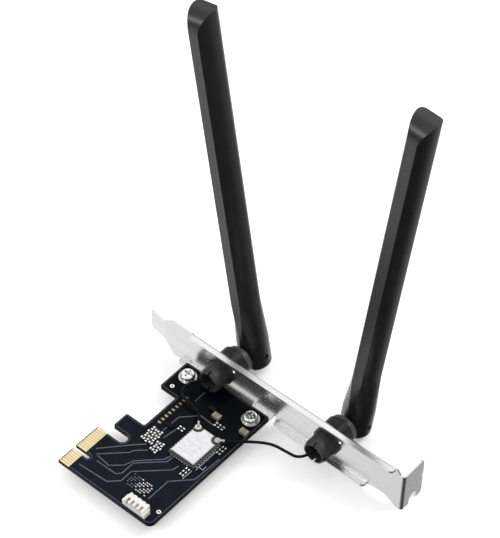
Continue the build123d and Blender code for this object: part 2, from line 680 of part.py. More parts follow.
def snap_ring(side):
    """Open ring in the shank's groove, against the bush's shoulder."""
    y = snap_groove_y()
    face = Circle(SNAP_RING_R) - Circle(SNAP_GROOVE_R + FIT_CLEAR)
    gap = 2 * SNAP_RING_R * math.sin(math.radians(SNAP_GAP_ANGLE / 2))
    face -= rectangle((0, 2 * SNAP_RING_R), (-gap / 2, gap / 2))
    ring = Pos(0, y, 0) * extrude(Plane.XZ * face, SNAP_RING_T, dir=(0, 1, 0))
    return Pos(ANTENNA_X[side], 0, ANTENNA_Z) * Rot(0, LEAN[side], 0) * ring


def blade_place(side):
    """Place of a blade: its own Z is its length from the hinge pin, and its own X the pin's axis."""
    lean = Rot(0, LEAN[side], 0)
    return Pos(ANTENNA_X[side], PIN_Y, ANTENNA_Z) * lean * Pos(0, 0, -PIN_DROP) * Rot(-TILT[side], 0, 0)


def blade_section(flat_half, half, front, widest, back):
    """Blade section: a narrow flat front, swelling sides and a rounded back."""
    rise = widest + front
    side_r = ((half - flat_half) ** 2 + rise ** 2) / (2 * (half - flat_half))
    mid = math.asin(rise / side_r) / 2
    bulge_x = half - side_r + side_r * math.cos(mid)
    bulge_y = widest - side_r * math.sin(mid)
    edges = [
        Line((-flat_half, -front), (flat_half, -front)),
        ThreePointArc((flat_half, -front), (bulge_x, bulge_y), (half, widest)),
        EllipticalCenterArc((0, widest), half, back - widest, start_angle=0, arc_size=QUARTER),
        EllipticalCenterArc((0, widest), half, back - widest, start_angle=QUARTER, arc_size=QUARTER),
        ThreePointArc((-half, widest), (-bulge_x, bulge_y), (-flat_half, -front)),
    ]
    return make_face(edges)


def blade_form():
    """Outer form of the blade before it is hollowed: round foot, blended body and rolled tip."""
    back = BLADE_DEPTH - BLADE_FRONT
    main = blade_section(BLADE_FLAT_HALF, BLADE_HALF, BLADE_FRONT, BLADE_WIDEST, back)
    barrel_section = blade_section(BARREL_FLAT_HALF, BARREL_R, BARREL_R, 0, BARREL_R)
    foot = PIN_REACH - FOOT_CLEAR
    bullet_r = BARREL_R + FOOT_MARGIN
    bullet = rounded(rectangle((0, bullet_r), (-foot, BARREL_TOP)), ((bullet_r, -foot, FOOT_ROUND),))
    barrel = Pos(0, 0, -foot) * extrude(barrel_section, foot + BARREL_TOP)
    barrel &= revolve(Plane.XZ * bullet, Axis.Z)
    profile = Circle(foot) + rectangle((-foot, foot), (0, BARREL_TOP))
    barrel &= Pos(-foot, 0, 0) * extrude(Plane.YZ * profile, 2 * foot)
    blend = loft([Pos(0, 0, BARREL_TOP) * barrel_section, Pos(0, 0, BLEND_TOP) * main])
    body = Pos(0, 0, BLEND_TOP) * extrude(main, BLADE_LENGTH - BLEND_TOP)
    tip = rectangle((-BLADE_FRONT, back), (BLEND_TOP, BLADE_LENGTH))
    tip = rounded(tip, ((-BLADE_FRONT, BLADE_LENGTH, TIP_FRONT_R), (back, BLADE_LENGTH, TIP_BACK_R)))
    body &= Pos(-2 * BLADE_HALF, 0, 0) * extrude(Plane.YZ * tip, 4 * BLADE_HALF)
    return barrel + blend + body


def fork_gap():
    """Room the knuckle's tongue sweeps between the blade's two fork ears."""
    half = TONGUE_T / 2 + HINGE_CLEAR
    sweep_r = TONGUE_R + 2 * HINGE_CLEAR
    far = 2 * BARREL_R
    gap = block((-half, half), (-far, 0), (-far, sweep_r))
    gap += block((-half, half), (0, sweep_r), (-far, 0))
    return gap + Rot(0, 90, 0) * Cylinder(sweep_r, 2 * half)


def strip_box():
    """The radiator strip, in the blade's own frame."""
    half = BLADE_HALF - STRIP_SIDE_WALL
    across = (BLADE_WIDEST - STRIP_T / 2, BLADE_WIDEST + STRIP_T / 2)
    return block((-half, half), across, (STRIP_START, STRIP_START + STRIP_LENGTH))


def blade_cavity():
    """Hollow of the blade, with the grooves that hold the radiator strip."""
    section = blade_section(
        BLADE_FLAT_HALF - BLADE_WALL / 2, BLADE_HALF - BLADE_WALL, BLADE_FRONT - BLADE_WALL,
        BLADE_WIDEST, BLADE_DEPTH - BLADE_FRONT - BLADE_WALL)
    low = TONGUE_R
    high = BLADE_LENGTH - CAVITY_TOP_WALL
    return Pos(0, 0, low) * extrude(section, high - low) + strip_box()


def blade(side):
    """Hollow radome with a fork at its foot."""
    shell = blade_form() - blade_cavity() - fork_gap()
    shell -= Rot(0, 90, 0) * Cylinder(PIN_R, 4 * BARREL_R)
    return blade_place(side) * shell


def hinge_pin(side):
    """Pin through the fork's ears and the knuckle's tongue."""
    return blade_place(side) * Rot(0, 90, 0) * Cylinder(PIN_R, 2 * PIN_HALF)


def radiator(side):
    """Antenna strip in the blade's grooves."""
    return blade_place(side) * strip_box()


def feed_coax(side):
    """Coax laid along the front of the radiator strip."""
    front = BLADE_WIDEST - STRIP_T / 2 - COAX_R
    return blade_place(side) * Pos(0, front, FEED_START) * extrude(Circle(COAX_R), FEED_LENGTH)


PIGTAILS = {"left": LEFT_PIGTAIL, "right": RIGHT_PIGTAIL}


def nodes():
    """Every node of the part by name."""
    places = receptacle_places()
    made = {
        "pcb": board(),
        "edge_contacts_component_side": contacts(1),
        "edge_contacts_solder_side": contacts(-1),
        "screw_pads": Compound([screw_pad(x, y) for x, y in SCREW_PLACES]),
        "bracket": bracket(),
        "bracket_screws": Compound([bracket_screw(x, y) for x, y in SCREW_PLACES]),
        "module_substrate": Pos(MODULE_X, MODULE_Y, BOARD_TOP) * extrude(
            Rectangle(MODULE_WIDTH, MODULE_LENGTH), MODULE_SUBSTRATE_T),
        "module_chip": Pos(MODULE_X, MODULE_Y, SUBSTRATE_TOP) * extrude(
            Rectangle(CHIP_SIZE, CHIP_SIZE), CHIP_HEIGHT),
        "module_can": module_can(),
        "module_label": module_label(),
        "rf_receptacles": Compound([receptacle(x, y) for x, y in places.values()]),
        "header_housing": header_housing(),
        "header_pins": header_pins(),
        "tan_capacitors": on_board(TAN_CAP_SIZE, TAN_CAP_PLACES),
        "chip_capacitors": chip_capacitors(),
        "chip_resistors": chip_resistors(),
        "power_chips": on_board(POWER_CHIP_SIZE, POWER_CHIP_PLACES),
    }
    for side, x in ANTENNA_X.items():
        made[side + "_rf_plug"] = rf_plug(side)
        made[side + "_pigtail"] = pigtail(side)
        made[side + "_bush"] = bush(x)
        made[side + "_collar"] = collar(x)
        made[side + "_knuckle"] = knuckle(side)
        made[side + "_snap_ring"] = snap_ring(side)
        made[side + "_hinge_pin"] = hinge_pin(side)
        made[side + "_blade"] = blade(side)
        made[side + "_radiator"] = radiator(side)
        made[side + "_feed_coax"] = feed_coax(side)
    return made


os.makedirs("parts", exist_ok=True)
for name, shape in nodes().items():
    shape.label = name
    export_step(shape, os.path.join("parts", name + ".step"))
    box = shape.bounding_box()
    print(name, len(shape.solids()), round(shape.volume, 2),
          [round(v, 2) for v in (*box.min, *box.max)])
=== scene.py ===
"""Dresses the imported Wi-Fi card: finishes, soldered and printed detail, coax leads, studio and camera."""
from __future__ import annotations

import logging
import math
from dataclasses import dataclass
from enum import Enum

import bmesh
import bpy
from mathutils import Matrix, Vector

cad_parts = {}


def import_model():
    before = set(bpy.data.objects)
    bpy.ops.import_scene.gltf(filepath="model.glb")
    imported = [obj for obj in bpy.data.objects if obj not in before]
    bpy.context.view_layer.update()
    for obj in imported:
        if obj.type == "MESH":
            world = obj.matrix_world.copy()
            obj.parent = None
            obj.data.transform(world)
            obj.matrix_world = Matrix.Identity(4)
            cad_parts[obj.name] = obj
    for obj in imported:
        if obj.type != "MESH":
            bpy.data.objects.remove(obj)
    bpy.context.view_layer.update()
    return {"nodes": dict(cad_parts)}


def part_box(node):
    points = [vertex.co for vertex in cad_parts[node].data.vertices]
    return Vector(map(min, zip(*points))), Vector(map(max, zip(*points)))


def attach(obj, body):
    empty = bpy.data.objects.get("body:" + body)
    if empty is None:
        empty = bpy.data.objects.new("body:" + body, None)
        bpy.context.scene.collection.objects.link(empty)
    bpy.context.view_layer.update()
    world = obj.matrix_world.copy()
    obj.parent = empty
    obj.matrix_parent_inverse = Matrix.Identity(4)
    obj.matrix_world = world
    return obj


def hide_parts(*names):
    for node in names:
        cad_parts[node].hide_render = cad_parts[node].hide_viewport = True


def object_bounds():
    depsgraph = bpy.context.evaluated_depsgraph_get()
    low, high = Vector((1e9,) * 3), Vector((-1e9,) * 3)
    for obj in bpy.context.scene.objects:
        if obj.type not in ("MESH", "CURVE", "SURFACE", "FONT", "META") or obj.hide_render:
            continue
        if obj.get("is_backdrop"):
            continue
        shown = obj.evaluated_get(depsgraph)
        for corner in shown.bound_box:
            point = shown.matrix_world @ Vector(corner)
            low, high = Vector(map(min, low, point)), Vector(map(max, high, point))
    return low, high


LOG = logging.getLogger("wifi_card")
MM = 0.001
QUARTER_TURN = math.pi / 2
WELD = 1e-6
SAME_LEVEL = 1e-5
FACES_UP = 0.9
SHARPEST_MITRE = 0.3
SHARPEST_INSET = 0.5
NOISE_LOW = 0.3
NOISE_HIGH = 0.7
PATCH_DETAIL = 3.0
GRAIN_DETAIL = 2.0

Point = tuple[float, float]
Route = tuple[Point, ...]
Colour = tuple[float, float, float]
Triple = tuple[float, float, float]
Span = tuple[float, float]


class Side(Enum):
    """The two antennas, named as the bodies and nodes are."""

    LEFT = "left"
    RIGHT = "right"

    def node(self, piece: str) -> str:
        """Name of this side's node for a piece."""
        return f"{self.value}_{piece}"


class Body(Enum):
    """Bodies that pieces ride on."""

    CARD = "card"


class Shade:
    """Node graph of one material, with short calls for the nodes that the finishes share."""

    def __init__(self, name: str) -> None:
        """Start a material with a Principled shader that reads Object coordinates.

        Args:
            name: The material's name.
        """
        self.material = bpy.data.materials.new(name)
        self.material.use_nodes = True
        self.tree = self.material.node_tree
        self.tree.nodes.clear()
        self.coords = self.add("ShaderNodeTexCoord").outputs["Object"]
        self.surface = self.add("ShaderNodeBsdfPrincipled")
        output = self.add("ShaderNodeOutputMaterial")
        self.link(self.surface.outputs["BSDF"], output.inputs["Surface"])

    def add(self, kind: str, **settings: object) -> bpy.types.Node:
        """Add a node.

        Args:
            kind: Blender's name of the node type.
            **settings: Properties to set on it.

        Returns:
            The new node.
        """
        node = self.tree.nodes.new(kind)
        for key, value in settings.items():
            setattr(node, key, value)
        return node

    def link(self, source: bpy.types.NodeSocket, target: bpy.types.NodeSocket) -> None:
        """Join an output to an input."""
        self.tree.links.new(source, target)

    def set(self, **values: object) -> None:
        """Set sockets of the Principled shader by name, with underscores for spaces."""
        for key, value in values.items():
            self.surface.inputs[key.replace("_", " ")].default_value = value

    def feed(self, source: bpy.types.NodeSocket, socket: str) -> None:
        """Join an output to a socket of the Principled shader."""
        self.link(source, self.surface.inputs[socket])

    def noise(self, grain: float, detail: float, stretch: Triple) -> bpy.types.NodeSocket:
        """Noise on Object coordinates.

        Args:
            grain: Size of a feature in millimetres.
            detail: Octaves of finer noise.
            stretch: How much longer a feature is along each axis.

        Returns:
            The noise's value.
        """
        mapping = self.add("ShaderNodeMapping")
        mapping.inputs["Scale"].default_value = [1 / (grain * MM * s) for s in stretch]
        self.link(self.coords, mapping.inputs["Vector"])
        noise = self.add("ShaderNodeTexNoise")
        noise.inputs["Scale"].default_value = 1.0
        noise.inputs["Detail"].default_value = detail
        self.link(mapping.outputs["Vector"], noise.inputs["Vector"])
        return noise.outputs["Fac"]

    def spread(self, value: bpy.types.NodeSocket, low: float, high: float) -> bpy.types.NodeSocket:
        """Map a noise value's usual span to low and high.

        Args:
            value: The noise's value.
            low: Result at the low end of the span.
            high: Result at the high end.

        Returns:
            The mapped value.
        """
        node = self.add("ShaderNodeMapRange")
        node.inputs["From Min"].default_value = NOISE_LOW
        node.inputs["From Max"].default_value = NOISE_HIGH
        node.inputs["To Min"].default_value = low
        node.inputs["To Max"].default_value = high
        self.link(value, node.inputs["Value"])
        return node.outputs["Result"]

    def blend(self, value: bpy.types.NodeSocket, low: Colour, high: Colour) -> bpy.types.NodeSocket:
        """Colour between two ends, by a noise value.

        Args:
            value: The noise's value.
            low: Colour at the low end of the noise's usual span.
            high: Colour at the high end.

        Returns:
            The blended colour.
        """
        ramp = self.add("ShaderNodeValToRGB")
        ramp.color_ramp.elements[0].position = NOISE_LOW
        ramp.color_ramp.elements[0].color = (*low, 1)
        ramp.color_ramp.elements[1].position = NOISE_HIGH
        ramp.color_ramp.elements[1].color = (*high, 1)
        self.link(value, ramp.inputs["Fac"])
        return ramp.outputs["Color"]

    def ranged(self, value: bpy.types.NodeSocket, span: Span, ends: Span) -> bpy.types.NodeSocket:
        """Map a length to a value.

        Args:
            value: The length.
            span: Lengths in millimetres at which the value starts and stops changing.
            ends: Value at each end of the span.

        Returns:
            The mapped value.
        """
        node = self.add("ShaderNodeMapRange")
        node.inputs["From Min"].default_value = span[0] * MM
        node.inputs["From Max"].default_value = span[1] * MM
        node.inputs["To Min"].default_value = ends[0]
        node.inputs["To Max"].default_value = ends[1]
        self.link(value, node.inputs["Value"])
        return node.outputs["Result"]

    def painted_shade_along_y(self, colour: bpy.types.NodeSocket, share: float, span: Span) -> bpy.types.NodeSocket:
        """Darken a colour along +Y as painted shade.

        Args:
            colour: The colour to dim.
            share: Share of the colour left at the far end.
            span: Where the painted shade starts and ends, in millimetres.

        Returns:
            The colour with its painted shade.
        """
        axes = self.add("ShaderNodeSeparateXYZ")
        self.link(self.coords, axes.inputs["Vector"])
        scaled = self.add("ShaderNodeVectorMath", operation="SCALE")
        self.link(colour, scaled.inputs[0])
        self.link(self.ranged(axes.outputs["Y"], span, (1.0, share)), scaled.inputs["Scale"])
        return scaled.outputs["Vector"]

    def bump(self, height: bpy.types.NodeSocket, depth: float) -> None:
        """Roughen the surface.

        Args:
            height: The noise that gives the height.
            depth: Depth of the grain in millimetres.
        """
        node = self.add("ShaderNodeBump")
        node.inputs["Distance"].default_value = depth * MM
        self.link(height, node.inputs["Height"])
        self.feed(node.outputs["Normal"], "Normal")


@dataclass(frozen=True)
class Finish:
    """A finish with mottled colour, uneven gloss and a fine grain, all in millimetres.

    Attributes:
        colour: Base colour, linear.
        gloss: Lowest and highest roughness.
        metallic: 1 for bare metal.
        mottle: Share by which the colour varies.
        patch: Size of the colour's and the gloss's patches.
        grain: Size of the surface grain.
        depth: Depth of the surface grain.
        stretch: How much longer the grain is along each axis, for brushed or drawn metal.
        specular: The shader's specular level.
        coat: Weight of a clear coat.
        shade_far_share: Share of the colour that is left at the far end of the painted shade along +Y.
        shade_span: Where the painted shade along +Y starts and ends.
    """

    colour: Colour
    gloss: Span
    metallic: float = 0.0
    mottle: float = 0.1
    patch: float = 3.0
    grain: float = 0.3
    depth: float = 0.01
    stretch: Triple = (1, 1, 1)
    specular: float = 0.5
    coat: float = 0.0
    shade_far_share: float = 1.0
    shade_span: Span = (0.0, 50.0)

    def make(self, name: str) -> bpy.types.Material:
        """Build the material.

        Args:
            name: The material's name.

        Returns:
            The material.
        """
        shade = Shade(name)
        low = tuple(c * (1 - self.mottle) for c in self.colour)
        high = tuple(min(1.0, c * (1 + self.mottle)) for c in self.colour)
        patches = shade.noise(self.patch, PATCH_DETAIL, self.stretch)
        grain = shade.noise(self.grain, GRAIN_DETAIL, self.stretch)
        colour = shade.blend(patches, low, high)
        # Painted shade: the colour darkens along +Y over the given span, down to the given share.
        if self.shade_far_share < 1.0:
            colour = shade.painted_shade_along_y(colour, self.shade_far_share, self.shade_span)
        shade.feed(colour, "Base Color")
        shade.feed(shade.spread(grain, *self.gloss), "Roughness")
        shade.bump(grain, self.depth)
        shade.set(Metallic=self.metallic, Specular_IOR_Level=self.specular, Coat_Weight=self.coat)
        return shade.material


class Finishes(Enum):
    """Every finish on the card."""

    # The board's colour darkens towards the bracket along +Y: painted shade.
    SOLDER_MASK = Finish((0.0078, 0.0096, 0.0160), (0.34, 0.48), mottle=0.2, patch=6, grain=0.12, depth=0.003,
                         specular=0.04, shade_far_share=0.25, shade_span=(14.0, 44.0))
    TRACK = Finish((0.115, 0.122, 0.142), (0.34, 0.46), mottle=0.2, patch=2, grain=0.15, depth=0.003,
                   specular=0.1)
    SCREW_PAD = Finish((0.16, 0.16, 0.16), (0.3, 0.45), metallic=1.0, mottle=0.2, patch=1.0,
                       grain=0.2, depth=0.004)
    EDGE_LINE = Finish((0.115, 0.122, 0.142), (0.4, 0.55), mottle=0.2, patch=2, grain=0.15, depth=0.003)
    GOLD = Finish((0.67, 0.59, 0.38), (0.22, 0.36), metallic=1.0, mottle=0.08, patch=1.0,
                  grain=0.1, depth=0.002, stretch=(6, 1, 1))
    FINGER_BED = Finish((0.50, 0.36, 0.13), (0.4, 0.55), mottle=0.12, patch=1.5, grain=0.15, depth=0.003)
    # The test pads darken towards the bracket along +Y: painted shade.
    TEST_PAD = Finish((0.40, 0.33, 0.16), (0.35, 0.5), mottle=0.15, patch=1.0, grain=0.15, depth=0.003,
                      shade_far_share=0.12, shade_span=(33.0, 44.0))
    TIN = Finish((0.74, 0.74, 0.73), (0.22, 0.4), metallic=1.0, mottle=0.1, patch=0.6,
                 grain=0.15, depth=0.006)
    SOLDER = Finish((0.76, 0.76, 0.75), (0.16, 0.3), metallic=1.0, mottle=0.12, patch=0.5,
                    grain=0.2, depth=0.01)
    BRACKET = Finish((0.67, 0.665, 0.67), (0.26, 0.275), metallic=0.92, mottle=0.03, patch=6.0,
                     grain=0.35, depth=0.0004, stretch=(8, 1, 1))
    SCREW = Finish((0.78, 0.78, 0.77), (0.06, 0.14), metallic=1.0, mottle=0.08, patch=1.0,
                   grain=0.2, depth=0.003)
    LAMINATE = Finish((0.045, 0.047, 0.05), (0.4, 0.55), mottle=0.2, patch=1, grain=0.2, depth=0.004)
    CAN = Finish((0.56, 0.56, 0.55), (0.25, 0.38), metallic=1.0, mottle=0.08, patch=1.5,
                 grain=0.2, depth=0.004)
    LABEL = Finish((0.75, 0.75, 0.785), (0.45, 0.6), mottle=0.09, patch=1.2, grain=0.25, depth=0.004)
    LABEL_MARK = Finish((0.61, 0.615, 0.66), (0.5, 0.62), mottle=0.08, patch=0.5, grain=0.2, depth=0.002)
    COAX_METAL = Finish((0.56, 0.54, 0.50), (0.18, 0.32), metallic=1.0, mottle=0.1, patch=0.6,
                        grain=0.1, depth=0.004)
    NYLON = Finish((0.80, 0.78, 0.73), (0.4, 0.55), mottle=0.05, patch=2, grain=0.2, depth=0.006)
    CERAMIC = Finish((0.17, 0.16, 0.145), (0.4, 0.55), mottle=0.15, patch=0.5, grain=0.12, depth=0.005)
    DULL_END = Finish((0.36, 0.33, 0.28), (0.4, 0.55), metallic=0.6, mottle=0.12, patch=0.5,
                      grain=0.15, depth=0.004)
    TANTALUM = Finish((0.22, 0.17, 0.12), (0.42, 0.55), mottle=0.15, patch=0.6, grain=0.15, depth=0.004)
    CHIP = Finish((0.0055, 0.0055, 0.006), (0.45, 0.6), mottle=0.2, patch=0.5, grain=0.1, depth=0.004,
                  specular=0.1)
    SILK = Finish((0.80, 0.80, 0.80), (0.5, 0.62), mottle=0.1, patch=0.4, grain=0.1, depth=0.002)
    COAX_JACKET = Finish((0.005, 0.005, 0.0055), (0.4, 0.5), mottle=0.2, patch=1, grain=0.15, depth=0.004,
                         specular=0.09)
    MOULDING = Finish((0.036, 0.034, 0.0365), (0.36, 0.5), mottle=0.2, patch=2.5, grain=0.18, depth=0.008,
                      specular=0.3)
    # Dark and light copies of the moulding: the collar's darker tone is painted shade from the bracket, the
    # knuckle's lighter tone is painted light on the lit ring.
    COLLAR = Finish((0.013, 0.0125, 0.0135), (0.4, 0.52), mottle=0.2, patch=2.5, grain=0.18, depth=0.008,
                    specular=0.22)
    KNUCKLE = Finish((0.062, 0.059, 0.063), (0.36, 0.5), mottle=0.2, patch=2.5, grain=0.18, depth=0.008,
                     specular=0.35)
    BLADE = Finish((0.0115, 0.011, 0.0115), (0.27, 0.35), mottle=0.15, patch=6, grain=0.2, depth=0.004,
                   specular=0.5)
    STRIP = Finish((0.08, 0.26, 0.12), (0.4, 0.5), mottle=0.15, patch=2, grain=0.2, depth=0.004)
    STEEL = Finish((0.45, 0.45, 0.45), (0.25, 0.4), metallic=1.0, mottle=0.08, patch=1.0,
                   grain=0.2, depth=0.003)

    def material(self) -> bpy.types.Material:
        """This finish's material, made the first time it is asked for."""
        name = f"finish_{self.name.lower()}"
        return bpy.data.materials.get(name) or self.value.make(name)


NODE_FINISHES = {
    "pcb": Finishes.SOLDER_MASK,
    "edge_contacts_component_side": Finishes.GOLD,
    "edge_contacts_solder_side": Finishes.GOLD,
    "screw_pads": Finishes.SCREW_PAD,
    "bracket": Finishes.BRACKET,
    "bracket_screws": Finishes.SCREW,
    "module_substrate": Finishes.LAMINATE,
    "module_chip": Finishes.CHIP,
    "module_can": Finishes.CAN,
    "module_label": Finishes.LABEL,
    "rf_receptacles": Finishes.COAX_METAL,
    "header_housing": Finishes.NYLON,
    "header_pins": Finishes.TIN,
    "tan_capacitors": Finishes.TANTALUM,
    "chip_capacitors": Finishes.CERAMIC,
    "chip_resistors": Finishes.CHIP,
    "power_chips": Finishes.CHIP,
}
ANTENNA_FINISHES = {
    "rf_plug": Finishes.COAX_METAL,
    "pigtail": Finishes.COAX_JACKET,
    "bush": Finishes.MOULDING,
    # Collar and knuckle take the shaded and lit copies of the moulding: painted shade and painted light.
    "collar": Finishes.COLLAR,
    "knuckle": Finishes.KNUCKLE,
    "snap_ring": Finishes.STEEL,
    "hinge_pin": Finishes.MOULDING,
    "blade": Finishes.BLADE,
    "radiator": Finishes.STRIP,
    "feed_coax": Finishes.COAX_JACKET,
}


def new_piece(name: str, mesh: bpy.types.Mesh, finish: Finishes, body: str) -> bpy.types.Object:
    """Link a mesh as a piece that rides on a body.

    Args:
        name: The piece's name.
        mesh: Its mesh, in metres in the card's frame.
        finish: Its finish.
        body: The body that it rides on.

    Returns:
        The piece.
    """
    piece = bpy.data.objects.new(name, mesh)
    bpy.context.scene.collection.objects.link(piece)
    mesh.materials.clear()
    mesh.materials.append(finish.material())
    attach(piece, body)
    LOG.info("%s: %d faces on %s", name, len(mesh.polygons), body)
    return piece


def solid_boxes(node: bpy.types.Object) -> list[tuple[Vector, Vector]]:
    """Boxes of a node's separate solids.

    Args:
        node: A CAD node.

    Returns:
        Lowest and highest corner of each solid, in metres.
    """
    work = bmesh.new()
    work.from_mesh(node.data)
    bmesh.ops.remove_doubles(work, verts=work.verts, dist=WELD)
    boxes = []
    left = set(work.verts)
    while left:
        reached = [left.pop()]
        for vert in reached:
            for edge in vert.link_edges:
                other = edge.other_vert(vert)
                if other in left:
                    left.remove(other)
                    reached.append(other)
        spans = [sorted(v.co[axis] for v in reached) for axis in range(3)]
        boxes.append((Vector(s[0] for s in spans), Vector(s[-1] for s in spans)))
    work.free()
    return sorted(boxes, key=lambda box: tuple(round(c, 6) for c in box[0]))


class Repeat:
    """Geometry Nodes tree that sets one box on every point of a mesh, sized and turned by the points."""

    def __init__(self) -> None:
        """Build the tree with its named inputs."""
        self.tree = bpy.data.node_groups.new("boxes_on_points", "GeometryNodeTree")
        face = self.tree.interface
        face.new_socket("Geometry", in_out="INPUT", socket_type="NodeSocketGeometry")
        self.sockets = {}
        for name in ("Length", "Breadth", "Height"):
            socket = face.new_socket(name, in_out="INPUT", socket_type="NodeSocketFloat")
            self.sockets[name] = socket.identifier
        self.sockets["Finish"] = face.new_socket(
            "Finish", in_out="INPUT", socket_type="NodeSocketMaterial").identifier
        face.new_socket("Geometry", in_out="OUTPUT", socket_type="NodeSocketGeometry")
        nodes = self.tree.nodes
        links = self.tree.links
        source = nodes.new("NodeGroupInput")
        result = nodes.new("NodeGroupOutput")
        size = nodes.new("ShaderNodeCombineXYZ")
        for name, axis in (("Length", "X"), ("Breadth", "Y"), ("Height", "Z")):
            links.new(source.outputs[name], size.inputs[axis])
        cube = nodes.new("GeometryNodeMeshCube")
        links.new(size.outputs["Vector"], cube.inputs["Size"])
        turn = nodes.new("GeometryNodeInputNamedAttribute")
        turn.data_type = "FLOAT"
        turn.inputs["Name"].default_value = "turn"
        angles = nodes.new("ShaderNodeCombineXYZ")
        links.new(turn.outputs["Attribute"], angles.inputs["Z"])
        place = nodes.new("GeometryNodeInstanceOnPoints")
        links.new(source.outputs["Geometry"], place.inputs["Points"])
        links.new(cube.outputs["Mesh"], place.inputs["Instance"])
        links.new(angles.outputs["Vector"], place.inputs["Rotation"])
        real = nodes.new("GeometryNodeRealizeInstances")
        links.new(place.outputs["Instances"], real.inputs["Geometry"])
        paint = nodes.new("GeometryNodeSetMaterial")
        links.new(real.outputs["Geometry"], paint.inputs["Geometry"])
        links.new(source.outputs["Finish"], paint.inputs["Material"])
        links.new(paint.outputs["Geometry"], result.inputs["Geometry"])

    def boxes(self, name: str, points: list[Vector], turns: list[float], size: Triple, finish: Finishes,
              slot: str) -> bpy.types.Object:
        """Set a box on each point and keep the result as one plain piece on the card.

        Args:
            name: The piece's name.
            points: Centres, in metres.
            turns: Turn of each box about Z, in radians.
            size: Length, breadth and height in millimetres.
            finish: The boxes' finish.
            slot: A slot name; not used.

        Returns:
            The piece.
        """
        seeds = bpy.data.meshes.new(f"{name}_points")
        seeds.from_pydata([tuple(p) for p in points], [], [])
        attribute = seeds.attributes.new("turn", "FLOAT", "POINT")
        for item, value in zip(attribute.data, turns):
            item.value = value
        holder = bpy.data.objects.new(f"{name}_holder", seeds)
        bpy.context.scene.collection.objects.link(holder)
        modifier = holder.modifiers.new("repeat", "NODES")
        modifier.node_group = self.tree
        for key, value in zip(("Length", "Breadth", "Height"), size):
            modifier[self.sockets[key]] = value * MM
        modifier[self.sockets["Finish"]] = finish.material()
        graph = bpy.context.evaluated_depsgraph_get()
        mesh = bpy.data.meshes.new_from_object(holder.evaluated_get(graph), depsgraph=graph)
        mesh.name = name
        holder.modifiers.remove(modifier)
        bpy.data.objects.remove(holder)
        return new_piece(name, mesh, finish, Body.CARD.value)


def ribbon(work: bmesh.types.BMesh, route: list[Vector], half: float, low: float, high: float,
           closed: bool = False) -> None:
    """Add a flat strip with mitred corners to a mesh.

    Args:
        work: The mesh to add to.
        route: Points of the strip's middle, in metres.
        half: Half the strip's width.
        low: Height of its underside.
        high: Height of its top.
        closed: Whether its end joins its start.
    """
    count = len(route)
    rings = []
    for n, here in enumerate(route):
        before = route[n - 1] if closed or n else None
        after = route[(n + 1) % count] if closed or n < count - 1 else None
        run_in = (here - before).normalized() if before is not None else (after - here).normalized()
        run_out = (after - here).normalized() if after is not None else run_in
        middle = (run_in + run_out).normalized()
        reach = half / max(SHARPEST_MITRE, middle.dot(run_in))
        across = Vector((-middle.y, middle.x)) * reach
        left, right = here + across, here - across
        rings.append([work.verts.new((p.x, p.y, z)) for p, z in
                      ((left, low), (left, high), (right, high), (right, low))])
    for n in range(count if closed else count - 1):
        one, two = rings[n], rings[(n + 1) % count]
        for side in range(4):
            other = (side + 1) % 4
            work.faces.new((one[side], two[side], two[other], one[other]))
    if not closed:
        work.faces.new(rings[0])
        work.faces.new(tuple(reversed(rings[-1])))


def finished_mesh(name: str, work: bmesh.types.BMesh) -> bpy.types.Mesh:
    """Turn a working mesh into a mesh with faces that point outwards.

    Args:
        name: The mesh's name.
        work: The working mesh, which is freed.

    Returns:
        The mesh.
    """
    bmesh.ops.recalc_face_normals(work, faces=work.faces)
    mesh = bpy.data.meshes.new(name)
    work.to_mesh(mesh)
    work.free()
    return mesh


